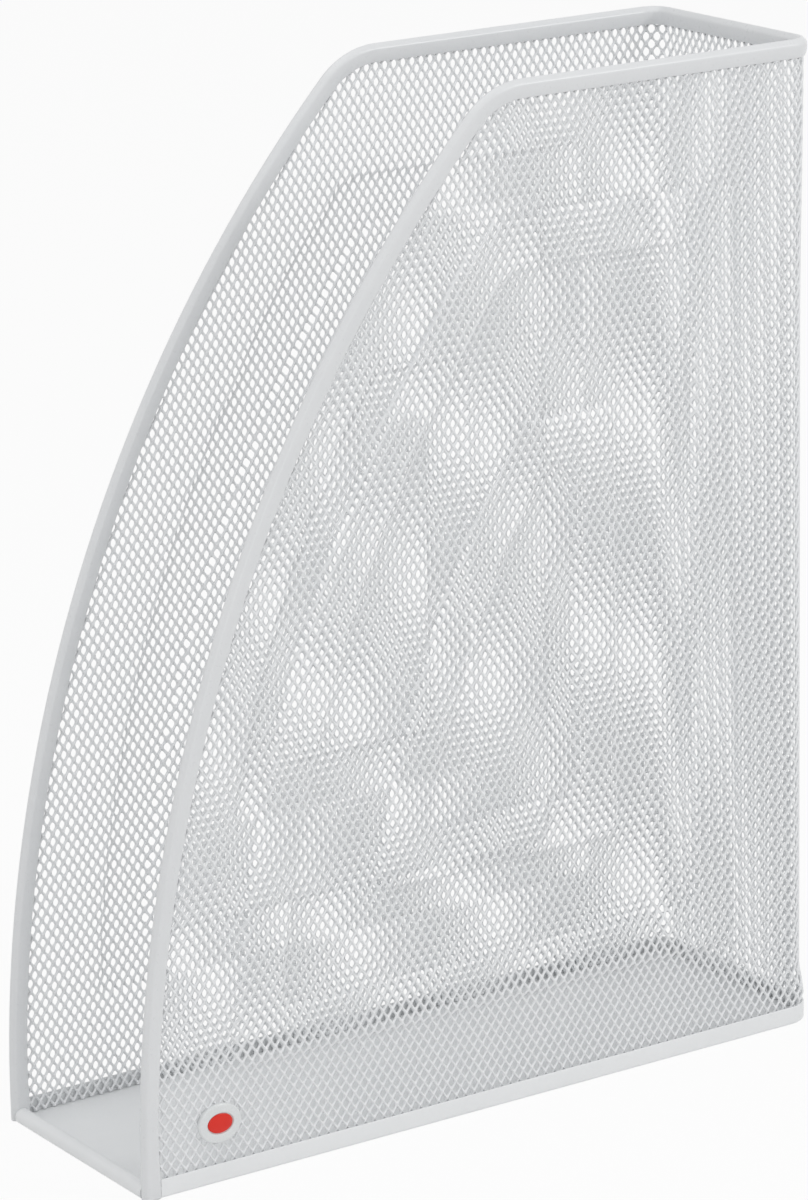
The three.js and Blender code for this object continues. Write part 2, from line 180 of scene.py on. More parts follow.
def apply_modifier(piece, kind, **settings):
    activate(piece)
    modifier = piece.modifiers.new(kind.title(), kind)
    for name, value in settings.items():
        setattr(modifier, name, value)
    bpy.ops.object.modifier_apply(modifier=modifier.name)


def apply_place(piece):
    activate(piece)
    bpy.ops.object.transform_apply(location=True, rotation=True, scale=True)


def smooth(piece, degrees):
    activate(piece)
    bpy.ops.object.shade_smooth_by_angle(angle=math.radians(degrees))


def copy_of(piece, name):
    copy = piece.copy()
    copy.data = piece.data.copy()
    bpy.context.scene.collection.objects.link(copy)
    copy.name = copy.data.name = name
    return copy


def report(piece):
    print(f"{piece.name}: {len(piece.data.vertices)} vertices, {len(piece.data.polygons)} faces")


def recalculate(piece):
    edit(piece)
    bpy.ops.mesh.select_all(action="SELECT")
    bpy.ops.mesh.normals_make_consistent(inside=False)
    deselect()

# %% [markdown]
# ## One cell of the mesh
#
# Expanded metal is slit and pulled open, which leaves diamond holes with rounded corners,
# staggered row by row. One diamond, as wide and as high as a step of the pattern, tiles the whole
# sheet, so only one is modelled: an outer diamond that runs along the middles of the strands, and
# the hole inside it. Beveling the corners of the hole takes their points off, and bridging the two
# loops makes the strands with just twelve faces. A vertex group remembers which vertices lie on
# the middle of a strand, because there the metal will be thickest.

# %% The cell
BADGE_Y, BADGE_Z = -DEPTH / 2 + 27.2 * MM, 18.8 * MM
BEND_LENGTH = SHEET_BEND * math.pi / 2
HALF_PITCHES_TO_BADGE = 154
PITCH = 2 * (BEND_X + BEND_LENGTH + BEND_Y - BADGE_Y) / HALF_PITCHES_TO_BADGE
RISE = 4.9 * MM
STRAND = 0.74 * MM
HOLE_ROUNDING = 0.46 * MM
EDGE_THICKNESS = 0.35


def make_cell():
    cell = begin("cell", bpy.ops.mesh.primitive_circle_add, vertices=4, radius=1,
                 fill_type="NOTHING")
    bpy.ops.transform.resize(value=(PITCH / 2, RISE / 2, 1))
    bpy.ops.mesh.select_all(action="DESELECT")
    bpy.ops.mesh.primitive_circle_add(vertices=4, radius=1, fill_type="NGON")
    to_strand = PITCH * RISE / 4 / math.hypot(PITCH / 2, RISE / 2)
    share = 1 - STRAND / 2 / to_strand
    bpy.ops.transform.resize(value=(share * PITCH / 2, share * RISE / 2, 1))
    bpy.ops.mesh.bevel(offset=HOLE_ROUNDING, segments=1, affect="VERTICES")
    bpy.ops.mesh.delete(type="ONLY_FACE")
    bpy.ops.mesh.select_all(action="SELECT")
    bpy.ops.mesh.bridge_edge_loops()
    bpy.ops.mesh.flip_normals()
    deselect()
    thick = cell.vertex_groups.new(name="thickness")
    for vertex in cell.data.vertices:
        on_strand = near(abs(vertex.co.x), PITCH / 2) or near(abs(vertex.co.y), RISE / 2)
        thick.add([vertex.index], 1.0 if on_strand else EDGE_THICKNESS, "REPLACE")
    return cell


print(f"pitch {PITCH / MM:.3f} x {RISE / MM:.3f} mm")

# %% [markdown]
# ## A flat patch of mesh
#
# Three Array modifiers repeat the cell: the first adds the staggered neighbour, the next two fill
# the columns and rows. The doubles on the shared strands are merged afterwards, in one go. The
# pattern is placed so that a crossing lies at the middle of the badge, and so that the middle of
# the back is a line of symmetry, which lets the left side be a mirrored copy of the right.

# %% The patch
JOIN_REACH, CUT_REACH = 0.01 * MM, 0.001 * MM


def make_patch(name, left, right, bottom, top, crossing):
    cell = make_cell()
    cell.name = cell.data.name = name
    columns = math.ceil((right - left) / PITCH) + 1
    rows = math.ceil((top - bottom) / RISE) + 1
    half_steps = math.floor((left - crossing[0]) / PITCH)
    half_rises = math.floor((bottom - crossing[1]) / RISE)
    cell.location = (crossing[0] + (half_steps + 0.5) * PITCH, crossing[1] + half_rises * RISE, 0)
    apply_place(cell)
    steps = ((2, (PITCH / 2, RISE / 2, 0)), (columns, (PITCH, 0, 0)), (rows, (0, RISE, 0)))
    for count, step in steps:
        apply_modifier(cell, "ARRAY", count=count, use_relative_offset=False,
                       use_constant_offset=True, constant_offset_displace=step)
    edit(cell)
    bpy.ops.mesh.select_all(action="SELECT")
    bpy.ops.mesh.remove_doubles(threshold=JOIN_REACH)
    deselect()
    return cell


def cut_away(piece, point, outward):
    bpy.ops.mesh.select_all(action="SELECT")
    bpy.ops.mesh.bisect(plane_co=point, plane_no=outward, clear_outer=True,
                        threshold=CUT_REACH)

# %% [markdown]
# ## The right side, cut to its outline
#
# The sheet is drawn lying flat, with x along the depth of the holder and y up. Its outline is
# convex, so it can be cut with the Bisect tool: one straight cut for the back, the top and the
# bottom, and a row of cuts that touch the arc for the curved front. The cut edge ends up inside
# the slot of the rim tube.

# %% Cut the right side
MESH_INSET = 3.1 * MM
MESH_BOTTOM = 1.5 * MM
ARC_CUTS = 12
SHOULDER_CUTS = 7

right_sheet = make_patch("mesh_right_rear", -DEPTH / 2, BEND_Y, MESH_BOTTOM, HEIGHT - MESH_INSET,
                         (BADGE_Y, BADGE_Z))
edit(right_sheet)
cut_away(right_sheet, (BEND_Y, 0, 0), (1, 0, 0))
cut_away(right_sheet, (0, MESH_BOTTOM, 0), (0, -1, 0))
cut_away(right_sheet, (0, HEIGHT - MESH_INSET, 0), (0, 1, 0))
for centre, radius, first, last, cuts in (
    ((ARC_Y, ARC_Z), ARC_RADIUS, 0, MEETING, ARC_CUTS),
    ((SHOULDER_Y, SHOULDER_Z), SHOULDER_RADIUS, MEETING, math.pi / 2, SHOULDER_CUTS),
):
    for i in range(cuts):
        turn = first + (last - first) * (i + 0.5) / cuts
        outward = Vector((-math.cos(turn), math.sin(turn), 0))
        point = Vector((*centre, 0)) + outward * (radius - MESH_INSET)
        cut_away(right_sheet, point, outward)
deselect()
report(right_sheet)

# %% [markdown]
# ## The pressed bands
#
# Each side has two frames pressed out by a little over a millimetre, one inside the other, which
# stiffen the thin mesh. The press stretches the strands that lie on its step. The Displace
# modifier does the same: a vertex group says how far each vertex goes, from 0 outside the band to
# 1 on it. The weight comes from the distance to the outer edge of the band. That distance is the
# smallest of four, to the arc, the floor, the top and the back line, blended where two are nearly
# equal to round the corners.

# %% Press the bands
BAND_WIDTH, BAND_SPACING = 17.2 * MM, 28.3 * MM
BAND_HEIGHT, BAND_SLOPE = 1.2 * MM, 1.6 * MM
BAND_BACK, BAND_FLOOR = WALL_Y + SHEET / 2 - 30.2 * MM, 33.5 * MM
BAND_TOPS = (HEIGHT - 40 * MM, HEIGHT - 102.9 * MM)
BAND_RADIUS, BAND_ARC_Z = ARC_RADIUS - 32.4 * MM, ARC_Z + 9 * MM
CORNER_BLEND = 4.7 * MM


def soft_least(a, b):
    overlap = max(CORNER_BLEND - abs(a - b), 0) / CORNER_BLEND
    return min(a, b) - overlap ** 2 * CORNER_BLEND / 4


def ease(x):
    x = min(max(x, 0), 1)
    return x * x * (3 - 2 * x)


def pressed(y, z):
    weight = 0
    for band, top in enumerate(BAND_TOPS):
        step = band * (BAND_WIDTH + BAND_SPACING)
        upright = soft_least(top - z, z - BAND_FLOOR - step)
        across = soft_least(BAND_RADIUS - step - math.hypot(y - ARC_Y, z - BAND_ARC_Z),
                            BAND_BACK - step - y)
        inside = soft_least(upright, across)
        weight += ease(inside / BAND_SLOPE) * ease((BAND_WIDTH - inside) / BAND_SLOPE)
    return weight


press = right_sheet.vertex_groups.new(name="press")
for vertex in right_sheet.data.vertices:
    press.add([vertex.index], pressed(vertex.co.x, vertex.co.y), "REPLACE")
apply_modifier(right_sheet, "DISPLACE", direction="Z", mid_level=0, strength=BAND_HEIGHT,
               vertex_group="press")
print("highest point:", max(v.co.z for v in right_sheet.data.vertices) / MM, "mm")

# %% [markdown]
# ## The back, with its two bends
#
# The back is a plain strip of the same mesh, wide enough to reach round both corners. Simple
# Deform or Curve modifiers could bend it, but they need helper objects for the place or the path
# of each bend. Folding needs none, and works as a press brake does: all that lies beyond a line is
# turned by a few degrees, and ten small folds make a quarter turn. The outermost fold comes first,
# so that the lines further in still lie on the flat part.

# %% Fold the back
FOLDS = 10
MESH_SMOOTHING = 72


def fold(piece, line, angle):
    """Turn what lies beyond an upright line on the flat back towards the front."""
    side = 1 if line > 0 else -1
    choose(piece, "verts", lambda v: side * v.co.x > side * line)
    # With no window the operator turns clockwise for a positive angle
    bpy.ops.transform.rotate(value=side * angle, orient_axis="Z", orient_type="GLOBAL",
                             center_override=(line, WALL_Y, 0))


def thicken(piece):
    apply_modifier(piece, "SOLIDIFY", thickness=SHEET, offset=0, vertex_group="thickness",
                   thickness_vertex_group=0.0, use_even_offset=False, use_quality_normals=True)


back_sheet = make_patch("mesh_back_fine", -BEND_X - BEND_LENGTH, BEND_X + BEND_LENGTH, MESH_BOTTOM,
                        HEIGHT - MESH_INSET, (0, BADGE_Z))
edit(back_sheet)
for side in (-1, 1):
    cut_away(back_sheet, (side * (BEND_X + BEND_LENGTH), 0, 0), (side, 0, 0))
cut_away(back_sheet, (0, MESH_BOTTOM, 0), (0, -1, 0))
cut_away(back_sheet, (0, HEIGHT - MESH_INSET, 0), (0, 1, 0))
deselect()
back_sheet.rotation_euler = (math.pi / 2, 0, math.pi)
back_sheet.location = (0, WALL_Y, 0)
apply_place(back_sheet)
edit(back_sheet)
for side in (-1, 1):
    for i in reversed(range(FOLDS)):
        line = side * (BEND_X + BEND_LENGTH * (i + 0.5) / FOLDS)
        fold(back_sheet, line, math.pi / 2 / FOLDS)
deselect()

# %% [markdown]
# The rim and the pan pinch the corners of the sheet to a tighter bend, and between them it eases
# back to its own. Seen from above, the pinched corner has the same two walls with a smaller arc
# between them. So each vertex is pushed out by what lies between the two curves at its angle, and
# the pinch fades with the height. Just above the pan the sheet also bulges a little over the
# skirt. Displace does it again, this time along the normals.

# %% Pinch the corners
PINCH_TOP, PINCH_BOTTOM, BULGE = 2.3 * MM, 1.6 * MM, 2.0 * MM
TOP_FADE, BOTTOM_FADE, BULGE_FADE = (232 * MM, 316 * MM), (19 * MM, 10 * MM), (5.5 * MM, 9 * MM)


def fade(z, none, full):
    return ease((z - none) / (full - none))


def pinch(z):
    at_pan = PINCH_BOTTOM + BULGE * fade(z, *BULGE_FADE)
    return PINCH_TOP * fade(z, *TOP_FADE) + at_pan * fade(z, *BOTTOM_FADE)


def push_out(x, y, z):
    """How far the pinched corner lies outside the free one, seen from the middle of the bend."""
    turn = math.atan2(max(y - BEND_Y, 0), max(abs(x) - BEND_X, 0))
    step = pinch(z)
    if SHEET_BEND * math.tan(min(turn, math.pi / 2 - turn)) <= step:
        return SHEET_BEND / max(math.cos(turn), math.sin(turn)) - SHEET_BEND
    centre = step * (math.cos(turn) + math.sin(turn))
    return centre + math.sqrt(centre ** 2 - 2 * step ** 2 + (SHEET_BEND - step) ** 2) - SHEET_BEND


pinched = back_sheet.vertex_groups.new(name="pinched")
for vertex in back_sheet.data.vertices:
    pinched.add([vertex.index], push_out(*vertex.co) / PINCH_TOP, "REPLACE")
apply_modifier(back_sheet, "DISPLACE", direction="NORMAL", mid_level=0, strength=PINCH_TOP,
               vertex_group="pinched")
thicken(back_sheet)
smooth(back_sheet, MESH_SMOOTHING)
report(back_sheet)

# %% [markdown]
# ## Thickness, and the two sides
#
# Solidify gives the flat drawing its thickness. It reads the thickness group: full on the middle
# of a strand and about a third at the edge of a hole, so each strand gets the rounded section that
# the powder coat leaves. A side is kept as two pieces, front and rear, so that none of them has
# too many triangles, and the left side is a mirrored copy, with its normals turned out again.

# %% Stand the sides up
SPLIT_Y = 8 * MM

right_sheet.rotation_euler = (math.pi / 2, 0, math.pi / 2)
right_sheet.location = (WALL_X, 0, 0)
apply_place(right_sheet)
front_sheet = copy_of(right_sheet, "mesh_right_front")
mesh_pieces = [back_sheet]
for piece, outward in ((right_sheet, (0, -1, 0)), (front_sheet, (0, 1, 0))):
    edit(piece)
    cut_away(piece, (0, SPLIT_Y, 0), outward)
    thicken(piece)
    smooth(piece, MESH_SMOOTHING)
    mirrored = copy_of(piece, piece.name.replace("right", "left"))
    mirrored.scale = (-1, 1, 1)
    apply_place(mirrored)
    recalculate(mirrored)
    mesh_pieces += [piece, mirrored]
    report(piece)

# %% [markdown]
# ## The rim tube
#
# The rim is a flat-sided tube with a slot in its inner edge, pushed over the cut edge of the mesh.
# Its path is made of arcs and straight lines only, so the Spin tool can sweep the section exactly:
# up the front arc, round the shoulder, straight back, round the corner and along half of the back.
# Spin leaves the last section selected, so each stretch goes on from the one before. The Mirror
# modifier adds the other half. A curve with a bevel object would also do, but its section twists
# where the path turns. The roller that formed the tube has left a flat facet on each outer corner,
# with a soft crease on both sides of it, so the corners get one wide bevel and then four small
# round ones. From the crease on, each side closes in on the mesh in a curve: its edge is
# subdivided, and the new points are pulled in, the further the nearer they are to the slot.

# %% The section of the tube
OUTER_FACET, TOP_CREASE, SIDE_CREASE = 1.4 * MM, 0.28 * MM, 0.5 * MM
SLOT_ROUNDING, FOOT_ROUNDING = 0.18 * MM, 0.6 * MM
SLOT_DEPTH = 3.2 * MM
SLOT_HALF = SHEET / 2 + SEAM
SIDE_PULL, SIDE_CURVE, SIDE_POINTS = 0.7 * MM, 3, 8
FRONT_Y = ARC_Y - ARC_RADIUS
SIDE_START, SIDE_END = FRONT_Y + OUTER_FACET + SIDE_CREASE, FRONT_Y + RIM_WIDTH


def close_in(vertex, direction=-1):
    """Move a point of the tube's side across the wall, not at the crease and most at the slot."""
    across = vertex.co.x - WALL_X
    share = max(vertex.co.y - SIDE_START, 0) / (SIDE_END - SIDE_START)
    if abs(across) > SLOT_HALF + SEAM / 2:
        vertex.co.x += direction * math.copysign(SIDE_PULL * share ** SIDE_CURVE, across)


def make_section():
    tube = begin("rim_round", bpy.ops.mesh.primitive_plane_add, size=1,
                 location=(WALL_X, FRONT_Y + RIM_WIDTH / 2, 0))
    bpy.ops.transform.resize(value=(RIM_THICKNESS, RIM_WIDTH, 1))
    slot_end = FRONT_Y + RIM_WIDTH - SLOT_DEPTH
    for point, normal in (((WALL_X - SLOT_HALF, 0, 0), (1, 0, 0)),
                          ((WALL_X + SLOT_HALF, 0, 0), (1, 0, 0)),
                          ((0, slot_end, 0), (0, 1, 0))):
        bpy.ops.mesh.select_all(action="SELECT")
        bpy.ops.mesh.bisect(plane_co=point, plane_no=normal)
    choose(tube, "faces", lambda f: near(middle(f).x, WALL_X) and middle(f).y > slot_end)
    bpy.ops.mesh.delete(type="FACE")
    bpy.ops.mesh.select_all(action="SELECT")
    bpy.ops.mesh.dissolve_limited(angle_limit=math.radians(5))

    def on_side(at):
        return near(abs(at.x - WALL_X), RIM_THICKNESS / 2)

    for test, rounding, steps in (
        (lambda v: on_side(v.co) and near(v.co.y, FRONT_Y), OUTER_FACET, 1),
        (lambda v: on_side(v.co) and v.co.y < slot_end, SIDE_CREASE, 4),
        (lambda v: near(v.co.y, FRONT_Y), TOP_CREASE, 3),
    ):
        choose(tube, "verts", test)
        bpy.ops.mesh.bevel(offset=rounding, segments=steps, affect="VERTICES")
    for side in (-1, 1):
        choose(tube, "edges", lambda e: on_side(middle(e)) and e.calc_length() > SLOT_DEPTH
               and side * (middle(e).x - WALL_X) > 0)
        bpy.ops.mesh.subdivide(number_cuts=SIDE_POINTS)
    for vertex in bmesh.from_edit_mesh(tube.data).verts:
        close_in(vertex)
    choose(tube, "verts", lambda v: near(v.co.y, SIDE_END)
           and abs(v.co.x - WALL_X) > SLOT_HALF + SEAM)
    bpy.ops.mesh.bevel(offset=SLOT_ROUNDING, segments=3, affect="VERTICES")
    return tube


rim = make_section()
print("section:", len(bmesh.from_edit_mesh(rim.data).verts), "points")

# %% [markdown]
# The first stretch is straight, from the floor to the height of the arc's centre. Extruding the
# flat section also leaves its face behind, which closes the foot of the tube. The upper face is
# then deleted, so that only its outline is swept on. The foot itself is left flat where the skirt
# of the pan meets it, so there the sides are moved out again.

# %% Sweep the tube
ARC_STEPS, SHOULDER_STEPS, BEND_STEPS = 44, 16, 16
RIM_BEND_X, RIM_BEND_Y = WALL_X - RIM_BEND, WALL_Y - RIM_BEND
STEEL_SMOOTHING = 40


def sweep(angle, steps, centre, axis):
    # With no window the tool turns clockwise for a positive angle
    bpy.ops.mesh.spin(steps=steps, angle=-angle, center=centre, axis=axis)


bpy.ops.mesh.select_mode(type="FACE")
bpy.ops.mesh.select_all(action="SELECT")
extrude(0, 0, ARC_Z)
bpy.ops.mesh.delete(type="ONLY_FACE")
choose(rim, "edges", lambda e: level_with(e, ARC_Z))
sweep(-MEETING, ARC_STEPS, (WALL_X, ARC_Y, ARC_Z), (1, 0, 0))
sweep(-(math.pi / 2 - MEETING), SHOULDER_STEPS, (WALL_X, SHOULDER_Y, SHOULDER_Z), (1, 0, 0))
extrude(0, RIM_BEND_Y - SHOULDER_Y, 0)
sweep(math.pi / 2, BEND_STEPS, (RIM_BEND_X, RIM_BEND_Y, 0), (0, 0, 1))
extrude(-RIM_BEND_X, 0, 0)
for vertex in bmesh.from_edit_mesh(rim.data).verts:
    if vertex.co.z < ARC_Z + SEAM:
        close_in(vertex, direction=1)
choose(rim, "edges", lambda e: level_with(e, 0) and len(e.link_faces) == 2)
bpy.ops.mesh.bevel(offset=FOOT_ROUNDING, segments=3, affect="EDGES")
deselect()
apply_modifier(rim, "MIRROR", use_axis=(True, False, False), merge_threshold=JOIN_REACH)
recalculate(rim)
smooth(rim, STEEL_SMOOTHING)
report(rim)
print("rim box:", [round(c / MM, 2) for c in rim.dimensions])

# %% [markdown]
# ## The base pan
#
# The pan is a shallow tray of thin sheet. Its skirt stands outside the mesh on three sides, and a
# thick rolled lip closes the front between the two feet of the rim. It starts as a flat plate: the
# back corners are beveled, a tongue is extruded between the feet, and the whole is raised to the
# thickness of the floor. An inset along the edge then gives the strip from which the skirt is
# drawn up. The faces of the strip are known by their place and by their area: the longest of them
# is only as wide as the skirt is thick, and `SPARE` leaves a little room in that comparison.

# %% The floor and the skirt
FLOOR = 1.2 * MM
SKIRT_HEIGHT, SKIRT_THICKNESS = 6 * MM, 0.8 * MM
SKIRT_OUT = SHEET / 2 + GAP + SKIRT_THICKNESS
LIP_FRONT = -DEPTH / 2 + 0.4 * MM
LIP_DEPTH, LIP_HEIGHT = 5.0 * MM, 4.2 * MM
RIM_BACK = -DEPTH / 2 + RIM_WIDTH + SEAM
RIM_INSIDE = WALL_X - RIM_THICKNESS / 2 - SEAM
TONGUE_X = RIM_INSIDE - SEAM
PAN_X, PAN_Y = WALL_X + SKIRT_OUT, WALL_Y + SKIRT_OUT
PAN_BEND_STEPS = 14
SPARE = 1.05
STRIP_AREA = SPARE * SKIRT_THICKNESS * (PAN_Y - RIM_BACK)

pan = begin("pan_formed", bpy.ops.mesh.primitive_plane_add, size=1,
            location=(0, (PAN_Y + RIM_BACK) / 2, 0))
bpy.ops.transform.resize(value=(2 * PAN_X, PAN_Y - RIM_BACK, 1))
choose(pan, "verts", lambda v: near(v.co.y, PAN_Y))
bpy.ops.mesh.bevel(offset=PAN_BEND + SKIRT_OUT, segments=PAN_BEND_STEPS, affect="VERTICES")
for x in (-TONGUE_X, TONGUE_X):
    bpy.ops.mesh.select_all(action="SELECT")
    bpy.ops.mesh.bisect(plane_co=(x, 0, 0), plane_no=(1, 0, 0))
choose(pan, "edges", lambda e: near(middle(e).y, RIM_BACK) and near(middle(e).x, 0))
extrude(0, LIP_FRONT + LIP_DEPTH / 2 - RIM_BACK, 0)
bpy.ops.mesh.select_all(action="SELECT")
bpy.ops.mesh.normals_make_consistent(inside=False)
extrude(0, 0, FLOOR)
bpy.ops.mesh.select_all(action="SELECT")
bpy.ops.mesh.normals_make_consistent(inside=False)
choose(pan, "faces", lambda f: near(middle(f).z, FLOOR))
bpy.ops.mesh.inset(thickness=SKIRT_THICKNESS, use_boundary=True)


def on_skirt(face):
    """Whether a face is one of the narrow ones that the inset left at the sides and the back."""
    at = middle(face)
    along_edge = abs(at.x) > PAN_X - SKIRT_THICKNESS or at.y > WALL_Y - 2 * PAN_BEND
    return near(at.z, FLOOR) and looks_up(face) and along_edge and face.calc_area() < STRIP_AREA


count = choose(pan, "faces", on_skirt)
extrude(0, 0, SKIRT_HEIGHT - FLOOR)
print("skirt drawn up from", count, "faces")
deselect()
report(pan)

# %% [markdown]
# The skirt is bent up from the floor, so its lower edge is round. Bevel makes that bend, another
# one clips the two upper corners beside the rim, and a small one takes the sharpness off the cut
# edge.

# %% Round the skirt
PAN_ROUNDING, END_ROUNDING, HEM_ROUNDING = 1.0 * MM, 0.9 * MM, 0.25 * MM
BEHIND_RIM = RIM_BACK + 1 * MM


def outer_bottom(edge):
    at = middle(edge)
    return near(at.z, 0) and at.y > BEHIND_RIM and any(map(is_upright, edge.link_faces))


edit(pan)
choose(pan, "edges", outer_bottom)
bpy.ops.mesh.bevel(offset=PAN_ROUNDING, segments=6, affect="EDGES")
choose(pan, "edges", lambda e: near(middle(e).z, SKIRT_HEIGHT) and near(middle(e).y, RIM_BACK))
bpy.ops.mesh.bevel(offset=END_ROUNDING, segments=3, affect="EDGES")
choose(pan, "edges", lambda e: level_with(e, SKIRT_HEIGHT) and any(map(is_upright, e.link_faces)))
bpy.ops.mesh.bevel(offset=HEM_ROUNDING, segments=2, affect="EDGES")
deselect()
recalculate(pan)

# %% [markdown]
# ## The lip
#
# The front edge of the pan is rolled over into a thick, blunt lip. It is a bar with its long edges
# beveled, the upper ones until almost nothing flat is left, and a Boolean union makes it one with
# the floor.

# %% Roll the lip
LIP_ROUNDINGS = ((LIP_HEIGHT, 2.3 * MM, 7), (0, 1.2 * MM, 5))

lip = begin("lip", bpy.ops.mesh.primitive_cube_add, size=1,
            location=(0, LIP_FRONT + LIP_DEPTH / 2, LIP_HEIGHT / 2))
bpy.ops.transform.resize(value=(2 * RIM_INSIDE, LIP_DEPTH, LIP_HEIGHT))
for level, rounding, steps in LIP_ROUNDINGS:
    choose(lip, "edges", lambda e: near(middle(e).x, 0) and near(middle(e).z, level))
    bpy.ops.mesh.bevel(offset=rounding, segments=steps, affect="EDGES")
deselect()
apply_modifier(pan, "BOOLEAN", operation="UNION", object=lip, solver="EXACT")
bpy.data.objects.remove(lip)
smooth(pan, STEEL_SMOOTHING)
report(pan)

# %% [markdown]
# ## The badge
#
# A small oval badge sits low on the right side. Its bezel lies on the mesh, two pins go through
# two holes of it, and a clip holds them inside. A plain, slightly crowned field lies in the bezel.
# All three parts are modelled lying on their backs, each from a filled circle that is stretched to
# an oval. A last helper stands a part up and puts it on the wall.

# %% Badge sizes and placing
BADGE_WIDTH, BADGE_HEIGHT, BADGE_THICKNESS = 15 * MM, 12.5 * MM, 1.1 * MM
BADGE_RING, BADGE_CROWN = 2.9 * MM, 0.6 * MM
PIN_SPACING, PIN_RADIUS = 10.1 * MM, 0.8 * MM
CLIP_THICKNESS, CLIP_MARGIN = 1.2 * MM, 1.2 * MM
CLIP_BACK = -SHEET - GAP - CLIP_THICKNESS
PIN_END = CLIP_BACK - GAP
OVAL_POINTS, PIN_POINTS = 48, 16
PLASTIC_SMOOTHING = 50


def oval(name, across, up, z):
    piece = begin(name, bpy.ops.mesh.primitive_circle_add, vertices=OVAL_POINTS, radius=1,
                  fill_type="NGON", location=(0, 0, z))
    bpy.ops.transform.resize(value=(across / 2, up / 2, 1))
    return piece


def round_ring(piece, z, radius, segments, test=lambda at: True):
    choose(piece, "edges", lambda e: level_with(e, z) and any(map(is_upright, e.link_faces))
           and test(middle(e)))
    bpy.ops.mesh.bevel(offset=radius, segments=segments, affect="EDGES")


def add_pins(radius, bottom, top):
    """Two pins as one object, to be joined to a piece or cut out of it."""
    pins = []
    for side in (-1, 1):
        pin = begin(f"pin{side}", bpy.ops.mesh.primitive_cylinder_add, vertices=PIN_POINTS,
                    radius=radius, depth=top - bottom,
                    location=(side * PIN_SPACING / 2, 0, (top + bottom) / 2))
        round_ring(pin, bottom, radius / 3, 2)
        deselect()
        pins.append(pin)
    for pin in pins:
        pin.select_set(True)
    bpy.context.view_layer.objects.active = pins[0]
    bpy.ops.object.join()
    return pins[0]


def fix_on_wall(piece):
    piece.rotation_euler = (math.pi / 2, 0, math.pi / 2)
    piece.location = (WALL_X + SHEET / 2, BADGE_Y, BADGE_Z)
    apply_place(piece)
    recalculate(piece)
    smooth(piece, PLASTIC_SMOOTHING)
    report(piece)

# %% [markdown]
# Extrude gives the bezel its thickness, and an inset and a second extrude sink its recess. Its
# outer edge gets a wide rounding, and the edge of the recess a small one. Both lie at one height,
# so they are told apart by their distance from the middle: the outline is at half of the width and
# height, and only the outer edge lies beyond `OUTER_SHARE` of them. The pins are joined to it.

# %% The bezel
BEZEL_ROUNDING, RECESS_ROUNDING = 0.6 * MM, 0.2 * MM
OUTER_SHARE = 0.45


def outer(at):
    return math.hypot(at.x / BADGE_WIDTH, at.y / BADGE_HEIGHT) > OUTER_SHARE


bezel = oval("badge_ring", BADGE_WIDTH, BADGE_HEIGHT, 0)
extrude(0, 0, BADGE_THICKNESS)
choose(bezel, "faces", lambda f: near(middle(f).z, BADGE_THICKNESS))
bpy.ops.mesh.inset(thickness=BADGE_RING)
extrude(0, 0, -BADGE_THICKNESS / 2)
round_ring(bezel, BADGE_THICKNESS, BEZEL_ROUNDING, 5, outer)
round_ring(bezel, BADGE_THICKNESS, RECESS_ROUNDING, 3, lambda at: not outer(at))
deselect()
add_pins(PIN_RADIUS, PIN_END, BADGE_THICKNESS / 3)
bezel.select_set(True)
bpy.context.view_layer.objects.active = bezel
bpy.ops.object.join()
fix_on_wall(bezel)

# %% [markdown]
# The crown of the field starts with an upright edge, and then rises in five insets. Each goes in
# by so many millimetres, and up by a share of the crown that gets smaller towards the middle. The
# clip is a flat oval with two holes, which a Boolean difference cuts with a slightly thicker pair
# of pins.

# %% The field and the clip
FIELD_EDGE = 0.45
FIELD_STEPS = ((0.2, 0.2), (0.3, 0.14), (0.4, 0.1), (0.5, 0.06), (0.6, 0.03))
CLIP_ROUNDING = 0.2 * MM

field = oval("badge_plain_field", BADGE_WIDTH - 2 * BADGE_RING - 2 * GAP,
             BADGE_HEIGHT - 2 * BADGE_RING - 2 * GAP, BADGE_THICKNESS / 2)
extrude(0, 0, BADGE_CROWN * FIELD_EDGE)
choose(field, "faces", looks_up)
for inward, up in FIELD_STEPS:
    bpy.ops.mesh.inset(thickness=inward * MM)
    bpy.ops.transform.translate(value=(0, 0, up * BADGE_CROWN))
fix_on_wall(field)

clip = oval("badge_clip_plate", BADGE_WIDTH - 2 * CLIP_MARGIN, BADGE_HEIGHT - 2 * CLIP_MARGIN,
            CLIP_BACK)
extrude(0, 0, CLIP_THICKNESS)
round_ring(clip, CLIP_BACK, CLIP_ROUNDING, 3)
deselect()
holes = add_pins(PIN_RADIUS + GAP / 2, CLIP_BACK - 1 * MM, 0)
apply_modifier(clip, "BOOLEAN", operation="DIFFERENCE", object=holes, solver="EXACT")
bpy.data.objects.remove(holes)
fix_on_wall(clip)

# %% [markdown]
# ## A way to write materials as formulas
#
# A material is a graph of nodes, and building it link by link hides what it says. A small class
# wraps an output socket, so that `0.4 + 0.1 * grain` adds the two Math nodes by itself. `Finish`
# holds one material and has one method, `node`, for every other kind of node.

# %% Materials in code
class Term:
    """A value inside a material that can be added, subtracted and multiplied like a number."""

    def __init__(self, finish, socket):
        self.finish, self.socket = finish, socket

    def __add__(self, other):
        return self.finish.maths("ADD", self, other)

    def __sub__(self, other):
        return self.finish.maths("SUBTRACT", self, other)

    def __rsub__(self, other):
        return self.finish.maths("SUBTRACT", other, self)

    def __mul__(self, other):
        return self.finish.maths("MULTIPLY", self, other)

    __radd__, __rmul__ = __add__, __mul__


